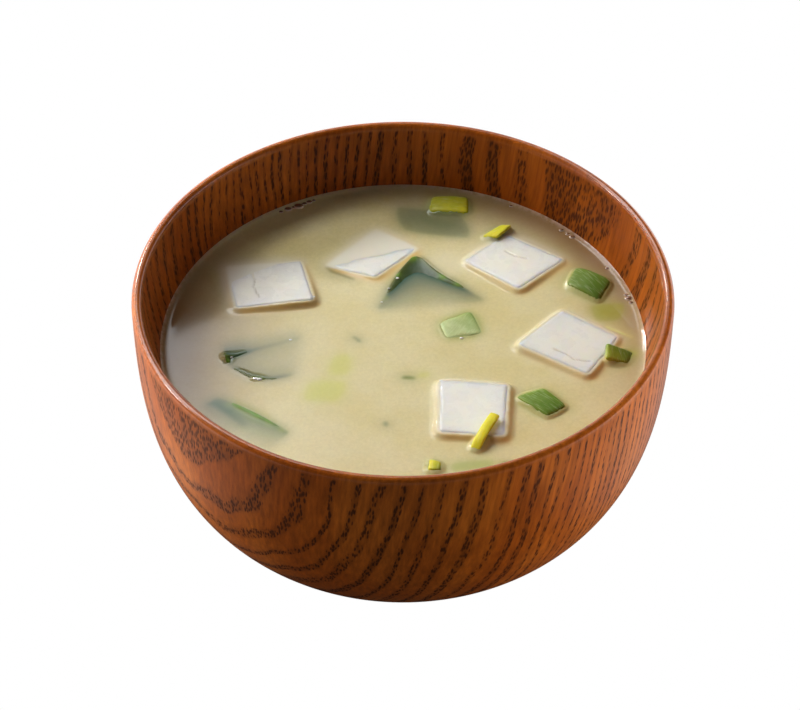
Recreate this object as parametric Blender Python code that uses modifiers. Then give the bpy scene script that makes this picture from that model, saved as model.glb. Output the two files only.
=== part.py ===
"""Miso soup in its turned wooden bowl, with tofu, wakame and spring onion afloat in cloudy broth.

Metres, +Z up. The origin is the centre of the foot's underside, and the seen side faces -Y.
The broth is solid from the bowl's floor up to its level, and every piece of garnish lies in a
pocket of the broth that is open upwards. Garnish is given in millimetres: x, y, and its height
over the broth's level.
"""

import math

import bmesh
import bpy
from mathutils import Vector

MM = 0.001
GAP = 0.3 * MM  # left between neighbouring solids

# The bowl. Each wall is a superellipse: the first power is of the depth, the second of the radius.
BOWL_HEIGHT = 66.0 * MM
RIM_RADIUS = 58.0 * MM
RIM_THICKNESS = 2.2 * MM
MOUTH_RADIUS = RIM_RADIUS - RIM_THICKNESS
OUTER_DEPTH = 60.7 * MM
OUTER_POWERS = (3.0, 3.33)
INNER_DEPTH = 55.1 * MM
INNER_POWERS = (1.4, 3.2)
FOOT_RADIUS = 27.0 * MM
FOOT_TAPER = 0.6 * MM
FOOT_RING_WIDTH = 4.2 * MM
FOOT_CHAMFER = 0.5 * MM
FOOT_RECESS = 4.0 * MM
AROUND = 56
INNER_STEPS = 12
RIM_STEPS = 6
OUTER_STEPS = 12

# The broth
SOUP_LEVEL = 50.3 * MM
MENISCUS_RISE = 0.5 * MM
MENISCUS_WIDTH = 1.8 * MM
MENISCUS_STEPS = 2
SOUP_STEPS = 9
POCKET_TOP = SOUP_LEVEL + 8.0 * MM

# Tofu: the outline of each block's top, anticlockwise from the front, how high its middle floats,
# and how much its top rises to the right and to the back.
TOFU_DEPTH = 11.0 * MM
TOFU_TAPER = 0.8 * MM
TOFU_EDGE = 0.7 * MM
TOFU_BLOCKS = {
    "tofu_left": (((-37.3, 9.7), (-19.2, 12.0), (-22.5, 27.0), (-40.6, 25.4)), 0.35, (0.05, -0.07)),
    "tofu_back": (((-6.0, 20.2), (4.3, 31.0), (-6.1, 38.8), (-18.4, 24.9)), -0.25, (0.02, -0.06)),
    "tofu_back_right": (((25.8, 15.6), (37.0, 26.7), (23.4, 36.6), (13.1, 26.2)), 0.5, (0.0, -0.04)),
    "tofu_right": (((39.9, -12.1), (47.7, 1.0), (35.1, 9.9), (24.3, -2.3)), 0.85, (-0.03, -0.01)),
    "tofu_front": (((7.1, -29.5), (21.8, -30.7), (23.0, -14.3), (7.4, -12.8)), 1.0, (0.0, 0.01)),
}

# Limp sheets, of wakame and of spring onion, and the room that their pockets leave them.
SHEET_SIDE_GAP = 2.5 * GAP
SHEET_UNDER_GAP = 2.0 * GAP
ONION_SMOOTHING = 1

# Wakame: a net of points for each leaf, row by row, smoothed into a limp sheet.
WAKAME_SMOOTHING = 2
WAKAME_THICKNESS = 0.8 * MM
WAKAME_LEAVES = {
    # From the tip behind to the wide end that sinks in front.
    "wakame_centre": (
        ((2.2, 27.8, 0.5), (3.2, 28.2, 0.5), (4.2, 27.4, 0.4)),
        ((-1.6, 22.2, 0.4), (3.0, 22.6, -0.2), (7.9, 22.3, 0.3)),
        ((-3.6, 16.2, 0.3), (4.2, 16.8, -0.9), (13.2, 18.6, 0.3)),
        ((-6.4, 10.0, -0.5), (5.0, 10.8, -2.2), (19.2, 12.8, -0.6)),
    ),
    # From left to right, each row from the sunk flap behind, over the fold, to the front edge.
    "wakame_left": (
        ((-39.6, 0.0, -1.8), (-38.9, -4.4, 0.4), (-38.4, -6.4, 0.5), (-37.6, -8.0, -0.3)),
        ((-34.0, 1.5, -1.8), (-34.2, -2.4, 0.2), (-34.8, -6.6, -0.5), (-33.8, -11.4, 0.3)),
        ((-28.0, 3.0, -1.6), (-28.6, -0.6, 0.1), (-29.0, -6.4, -0.8), (-29.6, -13.2, 0.4)),
        ((-22.0, 4.0, -1.4), (-22.2, 1.4, -0.2), (-22.6, -4.4, -1.2), (-22.8, -11.0, -0.2)),
    ),
    # Along the bowl's wall, each row from the sunk side at the wall to the raised bright edge.
    "wakame_front_left": (
        ((-43.0, -20.2, -1.4), (-41.4, -18.8, -0.2), (-39.6, -17.3, 0.2)),
        ((-39.4, -26.4, -1.8), (-36.4, -22.6, -0.1), (-33.6, -20.6, 0.2)),
        ((-33.8, -31.6, -1.8), (-31.2, -27.6, -0.5), (-28.4, -24.2, 0.4)),
        ((-28.0, -34.6, -1.8), (-26.0, -31.2, -1.0), (-23.4, -28.4, 0.1)),
    ),
}

# Spring onion: how far the middle of a piece arches up, its thickness, and its four corners,
# anticlockwise from the front. Green pieces are leaf, yellow ones come from nearer the bulb.
ONION_PIECES = {
    "onion_back": (0.5, 1.2, (
        (5.8, 43.4, 0.0), (15.2, 42.8, 0.0), (15.2, 48.4, 0.3), (6.6, 48.6, 0.3),
    )),
    "onion_ring": (1.0, 1.3, (
        (36.3, 17.8, 0.3), (43.5, 12.4, 0.1), (46.7, 19.2, 0.3), (38.8, 23.8, 0.4),
    )),
    "onion_right": (0.1, 1.1, (
        (43.6, -7.2, 1.3), (48.6, -7.4, -0.3), (50.2, -3.6, -0.5), (43.9, -2.6, 1.8),
    )),
    "onion_leaf": (0.3, 0.9, (
        (23.7, -18.1, 0.4), (30.5, -24.1, 0.3), (34.8, -20.9, 0.3), (30.1, -15.3, 0.5),
    )),
    "onion_pale": (0.1, 0.9, (
        (9.4, 0.4, -0.2), (17.6, 2.2, -0.2), (15.3, 10.5, -0.2), (7.6, 5.8, -0.2),
    )),
    "onion_yellow": (0.1, 0.9, (
        (21.6, 33.4, 1.2), (24.9, 37.6, 1.0), (22.5, 37.9, 0.9), (17.9, 34.5, 0.1),
    )),
    "onion_front": (0.2, 0.9, (
        (5.1, -39.9, 0.1), (7.8, -39.9, 0.1), (7.9, -37.5, 0.2), (5.4, -36.7, 0.2),
    )),
}
YELLOW_PIECES = ("onion_back", "onion_yellow", "onion_front", "onion_strip")

# The strip of onion that lies over the front edge of tofu_front: its middle line from end to end.
STRIP_LINE = (
    (19.5, -24.8, 1.8),
    (18.2, -27.4, 1.8),
    (16.9, -29.9, 1.7),
    (15.9, -31.9, 1.2),
    (15.0, -33.7, 0.0),
)
STRIP_WIDTH = 2.2
STRIP_ARCH = 0.3
STRIP_THICKNESS = 1.0 * MM

COLOURS = {
    "wood": ((0.33, 0.105, 0.024), 0.35),
    "broth": ((0.66, 0.56, 0.34), 0.15),
    "tofu": ((0.87, 0.82, 0.73), 0.35),
    "wakame": ((0.035, 0.075, 0.04), 0.3),
    "onion_green": ((0.11, 0.23, 0.045), 0.35),
    "onion_yellow": ((0.52, 0.50, 0.06), 0.35),
}


def steps(start, end, count):
    """Evenly spaced numbers from start to end, count + 1 of them."""
    return [start + (end - start) * step / count for step in range(count + 1)]


def place(point):
    """A garnish point, in millimetres over the broth's level, as a place in metres."""
    x, y, lift = point
    return Vector((x * MM, y * MM, SOUP_LEVEL + lift * MM))


def make_material(name):
    colour, roughness = COLOURS[name]
    material = bpy.data.materials.new(name)
    material.use_nodes = True
    shader = material.node_tree.nodes["Principled BSDF"]
    shader.inputs["Base Color"].default_value = (*colour, 1.0)
    shader.inputs["Roughness"].default_value = roughness
    shader.inputs["Metallic"].default_value = 0.0
    return material


def make_object(name, bm, collection, material=None):
    """An object of the bmesh's shape. One without a material is a guide or a cutter."""
    mesh = bpy.data.meshes.new(name)
    bm.to_mesh(mesh)
    bm.free()
    made = bpy.data.objects.new(name, mesh)
    collection.objects.link(made)
    if material:
        mesh.materials.append(material)
    else:
        made.hide_render = True
        made.display_type = "WIRE"
    return made


def wall_point(radius, depth, powers, angle):
    """A point of a bowl's wall: angle 0 is at the rim, and a quarter turn is on the axis."""
    out = radius * math.cos(angle) ** (2.0 / powers[1])
    down = depth * math.sin(angle) ** (2.0 / powers[0])
    return out, BOWL_HEIGHT - down


def wall_angle(share, power):
    """The angle at which a wall is that share of its depth below the rim."""
    return math.asin(share ** (power / 2.0))


def bowl_profile():
    """Half of the bowl's section, from the middle of its floor, over the rim, to under its foot."""
    bead = RIM_THICKNESS / 2.0
    under_bead_inside = wall_angle(bead / INNER_DEPTH, INNER_POWERS[0])
    under_bead_outside = wall_angle(bead / OUTER_DEPTH, OUTER_POWERS[0])
    foot_joint = math.acos((FOOT_RADIUS / RIM_RADIUS) ** (OUTER_POWERS[1] / 2.0))
    profile = [
        wall_point(MOUTH_RADIUS, INNER_DEPTH, INNER_POWERS, angle)
        for angle in steps(math.pi / 2.0, under_bead_inside, INNER_STEPS)
    ]
    for turn in steps(math.pi, 0.0, RIM_STEPS)[1:-1]:
        out = RIM_RADIUS - bead + bead * math.cos(turn)
        profile.append((out, BOWL_HEIGHT - bead + bead * math.sin(turn)))
    profile += [
        wall_point(RIM_RADIUS, OUTER_DEPTH, OUTER_POWERS, angle)
        for angle in steps(under_bead_outside, foot_joint, OUTER_STEPS)
    ]
    foot_outside = FOOT_RADIUS - FOOT_TAPER
    foot_inside = foot_outside - FOOT_RING_WIDTH
    profile += [
        (foot_outside, FOOT_CHAMFER),
        (foot_outside - FOOT_CHAMFER, 0.0),
        (foot_inside + FOOT_CHAMFER, 0.0),
        (foot_inside, FOOT_CHAMFER),
        (foot_inside - FOOT_CHAMFER, FOOT_RECESS),
        (0.0, FOOT_RECESS),
    ]
    return profile


def soup_profile():
    """Half of the broth's section, from the middle of its surface to the wall and the floor."""
    radius = MOUTH_RADIUS - GAP
    depth = INNER_DEPTH - GAP
    contact = (BOWL_HEIGHT - SOUP_LEVEL - MENISCUS_RISE) / depth
    wall = [
        wall_point(radius, depth, INNER_POWERS, angle)
        for angle in steps(wall_angle(contact, INNER_POWERS[0]), math.pi / 2.0, SOUP_STEPS)
    ]
    surface = [(0.0, SOUP_LEVEL)]
    for share in steps(0.0, 1.0, MENISCUS_STEPS)[:-1]:
        out = wall[0][0] - MENISCUS_WIDTH * (1.0 - share)
        surface.append((out, SOUP_LEVEL + MENISCUS_RISE * share**2))
    return surface + wall


def turned(name, profile, collection, material):
    """A body turned about the Z axis from its half section."""
    bm = bmesh.new()
    line = [bm.verts.new((out, 0.0, height)) for out, height in profile]
    for first, second in zip(line, line[1:]):
        bm.edges.new((first, second))
    body = make_object(name, bm, collection, material)
    screw = body.modifiers.new("turn", "SCREW")
    screw.steps = AROUND
    screw.render_steps = AROUND
    screw.use_merge_vertices = True
    screw.merge_threshold = 0.01 * MM
    screw.use_smooth_shade = True
    return body


def spread(outline, distance):
    """A closed outline, anticlockwise, with each side moved outwards by the distance."""
    moved = []
    for index, corner in enumerate(outline):
        before = (corner - outline[index - 1]).normalized()
        after = (outline[(index + 1) % len(outline)] - corner).normalized()
        first = Vector((before.y, -before.x))
        second = Vector((after.y, -after.x))
        moved.append(corner + (first + second) * (distance / (1.0 + first.dot(second))))
    return moved


def block(name, tops, bottoms, collection, material=None):
    """A six-sided block: a cube with its corners moved to the given ones."""
    bm = bmesh.new()
    bmesh.ops.create_cube(bm, size=2.0)
    corner_at = {(-1, -1): 0, (1, -1): 1, (1, 1): 2, (-1, 1): 3}
    for vert in bm.verts:
        corners = tops if vert.co.z > 0.0 else bottoms
        vert.co = corners[corner_at[round(vert.co.x), round(vert.co.y)]]
    return make_object(name, bm, collection, material)


def tofu_block(name, shape, collection, cutters, material):
    """A hand-cut block of tofu, tilted as it floats, and the cutter of its pocket."""
    corners, lift, slopes = shape
    outline = [Vector(corner) * MM for corner in corners]
    middle = sum(outline, Vector((0.0, 0.0))) / len(outline)

    def at_depth(points, depth):
        level = SOUP_LEVEL + lift * MM - depth
        return [Vector((*point, level + (point - middle).dot(slopes))) for point in points]

    tops = at_depth(outline, 0.0)
    bottoms = at_depth(spread(outline, -TOFU_TAPER), TOFU_DEPTH)
    body = block(name, tops, bottoms, collection, material)
    bevel = body.modifiers.new("soft_edges", "BEVEL")
    bevel.width = TOFU_EDGE
    bevel.segments = 2

    flare = TOFU_TAPER * (POCKET_TOP - SOUP_LEVEL) / TOFU_DEPTH
    pocket_tops = [Vector((*point, POCKET_TOP)) for point in spread(outline, GAP + flare)]
    pocket_bottoms = at_depth(spread(outline, GAP - TOFU_TAPER), TOFU_DEPTH + GAP)
    return block(name + "_pocket", pocket_tops, pocket_bottoms, cutters)


def widen(net, distance):
    """A net of points with its outer points moved outwards, so that each side moves by the distance."""
    for lines in (net, list(zip(*net))):
        for line in lines:
            line[0].xy += (line[0] - line[1]).to_2d().normalized() * distance
            line[-1].xy += (line[-1] - line[-2]).to_2d().normalized() * distance


def smooth_sheet(name, net, levels, collection, material=None):
    """An open sheet over a net of points, smoothed by subdivision with its corners kept."""
    rows, columns = len(net), len(net[0])
    bm = bmesh.new()
    bmesh.ops.create_grid(bm, x_segments=columns - 1, y_segments=rows - 1, size=1.0)
    for vert in bm.verts:
        column = round((vert.co.x + 1.0) / 2.0 * (columns - 1))
        row = round((vert.co.y + 1.0) / 2.0 * (rows - 1))
        vert.co = net[row][column]
    bmesh.ops.recalc_face_normals(bm, faces=bm.faces[:])
    sheet = make_object(name, bm, collection, material)
    smooth = sheet.modifiers.new("smooth", "SUBSURF")
    smooth.levels = levels
    smooth.render_levels = levels
    smooth.boundary_smooth = "PRESERVE_CORNERS"
    return sheet


def pocket_over(sheet, depth):
    """A cutter from that far under a sheet up past the broth's surface."""
    evaluated = sheet.evaluated_get(bpy.context.evaluated_depsgraph_get())
    bm = bmesh.new()
    bm.from_mesh(evaluated.to_mesh())
    bmesh.ops.translate(bm, verts=bm.verts[:], vec=(0.0, 0.0, -depth))
    grown = bmesh.ops.extrude_face_region(bm, geom=bm.faces[:])
    for vert in grown["geom"]:
        if isinstance(vert, bmesh.types.BMVert):
            vert.co.z = POCKET_TOP
    bmesh.ops.recalc_face_normals(bm, faces=bm.faces[:])
    sheet.modifiers.clear()
    bm.to_mesh(sheet.data)
    bm.free()
    return sheet


def floating_sheet(name, net, thickness, levels, collection, cutters, material):
    """A limp sheet with a real thickness, and the cutter of its pocket."""
    placed = [[place(point) for point in row] for row in net]
    sheet = smooth_sheet(name, placed, levels, collection, material)
    wall = sheet.modifiers.new("wall", "SOLIDIFY")
    wall.thickness = thickness
    wall.offset = 0.0

    wide_net = [[point.copy() for point in row] for row in placed]
    widen(wide_net, SHEET_SIDE_GAP)
    guide = smooth_sheet(name + "_pocket", wide_net, levels, cutters)
    return pocket_over(guide, thickness / 2.0 + SHEET_UNDER_GAP)


def arched_net(corners, arch):
    """Three rows of three points over four corners, the middle ones raised by the arch."""
    front_left, front_right, back_right, back_left = (Vector(corner) for corner in corners)
    net = []
    for share in (0.0, 0.5, 1.0):
        left = front_left.lerp(back_left, share)
        right = front_right.lerp(back_right, share)
        middle = left.lerp(right, 0.5) + Vector((0.0, 0.0, arch))
        net.append((left, middle, right))
    return net


def strip_net():
    """Rows across the strip's middle line, each arched in its middle."""
    line = [Vector(point) for point in STRIP_LINE]
    along = (line[-1] - line[0]).to_2d().normalized()
    side = Vector((-along.y, along.x, 0.0)) * (STRIP_WIDTH / 2.0)
    return [(point - side, point + Vector((0.0, 0.0, STRIP_ARCH)), point + side) for point in line]


def cut_pocket(soup, pocket):
    cut = soup.modifiers.new(pocket.name, "BOOLEAN")
    cut.operation = "DIFFERENCE"
    cut.solver = "EXACT"
    cut.object = pocket


def main():
    for old in list(bpy.data.objects):
        bpy.data.objects.remove(old, do_unlink=True)
    parts = bpy.data.collections.new("miso_soup")
    cutters = bpy.data.collections.new("cutters")
    bpy.context.scene.collection.children.link(parts)
    bpy.context.scene.collection.children.link(cutters)

    turned("bowl", bowl_profile(), parts, make_material("wood"))
    soup = turned("soup", soup_profile(), parts, make_material("broth"))

    pockets = []
    tofu = make_material("tofu")
    for name, shape in TOFU_BLOCKS.items():
        pockets.append(tofu_block(name, shape, parts, cutters, tofu))
    wakame = make_material("wakame")
    for name, net in WAKAME_LEAVES.items():
        pockets.append(floating_sheet(name, net, WAKAME_THICKNESS, WAKAME_SMOOTHING, parts, cutters, wakame))
    green, yellow = make_material("onion_green"), make_material("onion_yellow")
    pieces = {"onion_strip": (strip_net(), STRIP_THICKNESS)}
    for name, (arch, thickness, corners) in ONION_PIECES.items():
        pieces[name] = (arched_net(corners, arch), thickness * MM)
    for name, (net, thickness) in pieces.items():
        colour = yellow if name in YELLOW_PIECES else green
        pockets.append(floating_sheet(name, net, thickness, ONION_SMOOTHING, parts, cutters, colour))
    for pocket in pockets:
        cut_pocket(soup, pocket)


main()
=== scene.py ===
# %% [markdown]
# # Miso soup in its wooden bowl
#
# A small turned bowl of lacquered zelkova wood holds cloudy miso broth. Cubes of tofu, limp wakame
# and slices of spring onion float in it, some proud of the surface and some just under it. The solid
# model gives every piece its place and size. This lesson dresses that model: each cell makes one
# piece or one finish, and says what the real thing is and why it is made in this way.

# %% Load the solid model
import math

import bmesh
import bpy
import numpy as np
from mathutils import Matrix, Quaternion, Vector
from mathutils.bvhtree import BVHTree
from mathutils.kdtree import KDTree
from mathutils.noise import noise as perlin


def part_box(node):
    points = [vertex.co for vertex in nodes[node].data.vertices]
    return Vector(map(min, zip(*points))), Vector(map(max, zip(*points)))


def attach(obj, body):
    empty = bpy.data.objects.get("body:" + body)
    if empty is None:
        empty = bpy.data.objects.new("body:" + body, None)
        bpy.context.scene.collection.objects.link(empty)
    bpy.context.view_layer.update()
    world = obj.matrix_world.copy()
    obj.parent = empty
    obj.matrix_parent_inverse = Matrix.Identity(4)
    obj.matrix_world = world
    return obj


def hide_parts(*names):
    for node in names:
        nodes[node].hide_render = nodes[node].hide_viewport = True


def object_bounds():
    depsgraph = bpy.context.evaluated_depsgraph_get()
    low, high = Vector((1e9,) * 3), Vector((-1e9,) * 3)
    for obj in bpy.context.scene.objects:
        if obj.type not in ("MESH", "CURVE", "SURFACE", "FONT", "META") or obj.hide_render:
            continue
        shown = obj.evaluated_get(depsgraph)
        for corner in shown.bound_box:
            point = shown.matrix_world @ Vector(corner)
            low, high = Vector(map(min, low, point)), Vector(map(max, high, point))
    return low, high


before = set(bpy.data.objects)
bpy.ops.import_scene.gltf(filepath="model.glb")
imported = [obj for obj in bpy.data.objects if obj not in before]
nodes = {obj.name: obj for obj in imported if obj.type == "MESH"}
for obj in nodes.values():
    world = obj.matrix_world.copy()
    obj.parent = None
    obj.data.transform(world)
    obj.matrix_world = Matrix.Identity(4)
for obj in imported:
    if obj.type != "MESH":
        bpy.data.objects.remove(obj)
cad_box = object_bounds()
MM = 0.001
print("solid model:", len(nodes), "nodes, box in mm", [[round(v / MM, 1) for v in c] for c in cad_box])

# %% [markdown]
# ## Camera, floor and light
#
# The bowl is seen from the front and well above, from about an arm's length with a long lens, so its
# sides hardly converge. The camera looks at the middle of the mouth. Everything is placed from the
# solid model's box, and the Standard view keeps the colours as they are mixed.

# %% Camera
low, high = (Vector(corner) for corner in cad_box)
rim_radius = (high.x - low.x) / 2.0
CAMERA_ELEVATION = math.radians(43.0)
CAMERA_DISTANCE = 10.0 * rim_radius
CAMERA_AIM = Vector((-0.011 * rim_radius, 0.0, high.z - 0.343 * rim_radius))
LENS = 119.16

camera_data = bpy.data.cameras.new("camera")
camera_data.lens = LENS
camera = bpy.data.objects.new("camera", camera_data)
bpy.context.scene.collection.objects.link(camera)
camera.location = CAMERA_AIM + CAMERA_DISTANCE * Vector(
    (0.0, -math.cos(CAMERA_ELEVATION), math.sin(CAMERA_ELEVATION))
)
camera.rotation_euler = (math.pi / 2.0 - CAMERA_ELEVATION, 0.0, 0.0)
bpy.context.scene.camera = camera
bpy.context.scene.view_settings.view_transform = "Standard"
print("camera at", [round(v / MM) for v in camera.location], "mm")

# %% [markdown]
# ## Small helpers for materials
#
# Every finish below is a chain of nodes. Wiring each by hand would take ten lines a node, so a few
# helpers keep the chains short: add() places a node and wires it, calc() does arithmetic, and the
# rest are the textures and blends that come up again and again.


# %% Node helpers
def wire(tree, socket, value):
    """Sets a socket, or links another node's output to it."""
    if isinstance(value, bpy.types.NodeSocket):
        tree.links.new(value, socket)
    else:
        socket.default_value = value


def add(tree, kind, inputs=(), out=0, **settings):
    """Places a node, wires its inputs by name or number, and gives back one of its outputs."""
    node = tree.nodes.new(kind)
    for name, value in settings.items():
        setattr(node, name, value)
    for key, value in dict(inputs).items():
        wire(tree, node.inputs[key], value)
    return node.outputs[out]


def calc(tree, operation, *values, clamp=False):
    """One step of arithmetic on numbers or other nodes' outputs."""
    return add(tree, "ShaderNodeMath", enumerate(values), operation=operation, use_clamp=clamp)


def noise(tree, vector, scale, detail=2.0, roughness=0.5):
    """Cloudy noise from 0 to 1."""
    inputs = {"Vector": vector, "Scale": scale, "Detail": detail, "Roughness": roughness}
    return add(tree, "ShaderNodeTexNoise", inputs)


def turned(tree, vector, scale=(1.0, 1.0, 1.0), turn=(0.0, 0.0, 0.0)):
    """Coordinates turned and stretched by a Mapping node."""
    inputs = {"Vector": vector, "Rotation": turn, "Scale": scale}
    return add(tree, "ShaderNodeMapping", inputs)


def span(tree, value, start, end, low=0.0, high=1.0, smooth=True):
    """Takes a value from one span to another, held at both ends."""
    inputs = {"Value": value, 1: start, 2: end, 3: low, 4: high}
    kind = "SMOOTHSTEP" if smooth else "LINEAR"
    return add(tree, "ShaderNodeMapRange", inputs, interpolation_type=kind)


def mix(tree, share, first, second, mode="MIX"):
    """Mixes two colours."""
    inputs = {0: share, 6: first, 7: second}
    return add(tree, "ShaderNodeMix", inputs, out=2, data_type="RGBA", blend_type=mode)


def dimmed(tree, colour, share):
    """A colour made darker or lighter by a number."""
    grey = add(tree, "ShaderNodeCombineColor", {0: share, 1: share, 2: share})
    return mix(tree, 1.0, colour, grey, "MULTIPLY")


def bump(tree, height, distance, normal=None):
    """A normal tipped by a height from 0 to 1, over a real distance."""
    inputs = {"Height": height, "Distance": distance, "Strength": 1.0}
    if normal is not None:
        inputs["Normal"] = normal
    return add(tree, "ShaderNodeBump", inputs)


def new_material(name, **constants):
    """A Principled material, its node tree, its shader, and its place in millimetres."""
    material = bpy.data.materials.new(name)
    material.use_nodes = True
    tree = material.node_tree
    shader = tree.nodes["Principled BSDF"]
    for socket, value in constants.items():
        shader.inputs[socket.replace("_", " ")].default_value = value
    place = add(tree, "ShaderNodeTexCoord", out=3)
    return material, tree, shader, turned(tree, place, scale=(1 / MM,) * 3)


def rgb(red, green, blue):
    """A solid colour for a shader's socket."""
    return (red, green, blue, 1.0)


print("helpers ready for the node chains")


# %% [markdown]
# ## The floor and the room
#
# The floor is plain and white. It glows softly for the camera, so it shows no edge. A bowl lit from
# behind stands in its own shade, so what the lacquer mirrors of the floor is paler behind and beside
# the bowl than in front of it. The room is dark but for a pale band low down behind the bowl, which
# the rim and the walls mirror at a glancing angle. A plain white plane would need exposure tricks to
# come out even, so both show pure white only where the camera looks straight at them.


# %% Floor and surroundings
FLOOR_SIZE = 40.0 * rim_radius
FLOOR_PALE, FLOOR_SHADED = 1.15, 0.19  # how brightly the floor glows behind and in front
# How much of that the lacquer mirrors: least near the bowl, and most far off or to its sides.
NEAR, FAR, MIRRORED_NEAR, MIRRORED_FAR = 70.0, 280.0, 0.06, 0.9  # mm from the axis, and shares
SIDE_START, SIDE_END, MIRRORED_BESIDE = 45.0, 85.0, 0.40
ROOM = rgb(0.02, 0.02, 0.021)


def white_for_camera(tree, other, kind, output):
    """Pure white where the camera looks straight at it, and the other shader elsewhere."""
    white = add(tree, kind, {"Color": rgb(1, 1, 1), "Strength": 1.0})
    looked_at = add(tree, "ShaderNodeLightPath", out=0)
    shown = add(tree, "ShaderNodeMixShader", {0: looked_at, 1: other, 2: white})
    wire(tree, output.inputs["Surface"], shown)


floor_material, tree, shader, place = new_material("white_floor")
tree.nodes.remove(shader)
across, back, _ = (add(tree, "ShaderNodeSeparateXYZ", {0: place}, out=axis) for axis in range(3))
squares = (calc(tree, "POWER", side, 2.0) for side in (across, back))
reach = calc(tree, "SQRT", calc(tree, "ADD", *squares))
behind = span(tree, calc(tree, "DIVIDE", back, calc(tree, "MAXIMUM", reach, 1.0)), -0.95, -0.15)
glow = span(tree, behind, 0.0, 1.0, FLOOR_SHADED, FLOOR_PALE, smooth=False)
mirrored = add(tree, "ShaderNodeLightPath", out=3)
near_far = span(tree, reach, NEAR, FAR, MIRRORED_NEAR, MIRRORED_FAR)
beside = span(tree, calc(tree, "ABSOLUTE", across), SIDE_START, SIDE_END, 0.0, MIRRORED_BESIDE)
less = calc(tree, "SUBTRACT", calc(tree, "MAXIMUM", near_far, beside), 1.0)
glow = calc(tree, "MULTIPLY", glow, calc(tree, "ADD", calc(tree, "MULTIPLY", mirrored, less), 1.0))
dim = add(tree, "ShaderNodeEmission", {"Color": rgb(1, 0.98, 0.95), "Strength": glow})
white_for_camera(tree, dim, "ShaderNodeEmission", tree.nodes["Material Output"])


def staged_sheet(name, material, width, height):
    """A flat sheet that belongs to the stage and not to the object."""
    bm = bmesh.new()
    bmesh.ops.create_grid(bm, x_segments=1, y_segments=1, size=0.5)
    bmesh.ops.scale(bm, verts=bm.verts, vec=(width, height, 1.0))
    mesh = bpy.data.meshes.new(name)
    bm.to_mesh(mesh)
    bm.free()
    mesh.materials.append(material)
    sheet = bpy.data.objects.new(name, mesh)
    bpy.context.scene.collection.objects.link(sheet)
    return sheet


staged_sheet("floor", floor_material, 2 * FLOOR_SIZE, 2 * FLOOR_SIZE)
print("floor", round(2 * FLOOR_SIZE, 2), "m across")

# %% The room
HORIZON_TOP, HORIZON_FOOT = 0.34, 0.04  # the band's edges, as the upward part of a direction
HORIZON_GLOW = 110.0  # how many times brighter than the room the band is
world = bpy.data.worlds.new("room")
bpy.context.scene.world = world
world.use_nodes = True
tree = world.node_tree
room = tree.nodes["Background"]
room.inputs["Color"].default_value = ROOM
way = add(tree, "ShaderNodeTexCoord", out=0)
forward, upward = (add(tree, "ShaderNodeSeparateXYZ", {0: way}, out=axis) for axis in (1, 2))
low_down = span(tree, upward, HORIZON_TOP, HORIZON_FOOT)
horizon = calc(tree, "MULTIPLY", low_down, span(tree, forward, -0.75, 0.0))
wire(tree, room.inputs["Strength"], calc(tree, "ADD", 1.0, calc(tree, "MULTIPLY", horizon, HORIZON_GLOW)))
white_for_camera(tree, room.outputs[0], "ShaderNodeBackground", tree.nodes["World Output"])
print("room", room.inputs["Color"].default_value[:3])

# %% [markdown]
# ## The light
#
# Soft light comes from large panels, as in a studio. Four stand at the back and on the left like a
# window, so the wall throws its soft shade on the broth at the back, and a wide one hangs over them.
# Weaker ones in front and at table height open up the shadows on the outside. Panels as large as
# these would lie on the wet broth as white shapes, so they aren't mirrored at all. Three small ones
# are only mirrored, for the glints, and one pale screen draws the haze over the left of the broth.


# %% Light panels
PANEL_AWAY, FILL_AWAY = 0.75, 0.9  # metres from where the camera aims


def facing_bowl(azimuth, elevation, distance, lean=0.0):
    """The place and turn of a panel that faces the bowl. Its azimuth is from the right, over the back."""
    turn, rise = math.radians(azimuth), math.radians(elevation)
    direction = Vector((math.cos(rise) * math.cos(turn), math.cos(rise) * math.sin(turn), math.sin(rise)))
    facing = direction.to_track_quat("Z", "Y") @ Quaternion((0.0, 0.0, 1.0), math.radians(lean))
    return CAMERA_AIM + direction * distance, facing.to_euler()


def light_panel(name, azimuth, elevation, distance, width, height, radiance, colour, glint=False):
    """A soft light the size of the panel, or a small one that only shows mirrored."""
    data = bpy.data.lights.new(name, "AREA")
    data.shape = "RECTANGLE"
    data.size, data.size_y = width, height
    data.energy = radiance * math.pi * width * height
    data.color = colour
    panel = bpy.data.objects.new(name, data)
    bpy.context.scene.collection.objects.link(panel)
    panel.location, panel.rotation_euler = facing_bowl(azimuth, elevation, distance)
    panel.visible_glossy, panel.visible_diffuse = glint, not glint
    panel.visible_camera = False


WINDOW_WHITE, ROOM_WHITE = (1.0, 0.985, 0.955), (1.0, 0.97, 0.93)
OVERHEAD_WHITE, WARM_WHITE = (1.0, 0.99, 0.98), (1.0, 0.93, 0.82)
# Name, azimuth, elevation, distance, width, height, radiance and colour.
for panel in (
    ("window", 142, 29, PANEL_AWAY, 0.25, 0.15, 24.0, WINDOW_WHITE),
    ("window_top", 158, 44, PANEL_AWAY, 0.40, 0.13, 9.5, WINDOW_WHITE),
    ("window_left", 178, 18, PANEL_AWAY, 0.25, 0.15, 12.0, WINDOW_WHITE),
    ("window_back", 105, 32, PANEL_AWAY, 0.25, 0.15, 11.5, WINDOW_WHITE),
    ("overhead", 115, 50.4, PANEL_AWAY, 0.66, 0.19, 3.4, OVERHEAD_WHITE),
    ("from_right", 15, 32, PANEL_AWAY, 0.40, 0.15, 2.5, WARM_WHITE),
    ("front_fill", 270, 12, FILL_AWAY, 0.8, 0.2, 1.2, ROOM_WHITE),
    ("right_fill", 5, -1, FILL_AWAY, 0.4, 0.055, 140.0, ROOM_WHITE),
    ("left_fill", 148, -1, FILL_AWAY, 0.4, 0.055, 230.0, ROOM_WHITE),
):
    light_panel(*panel)
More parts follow.
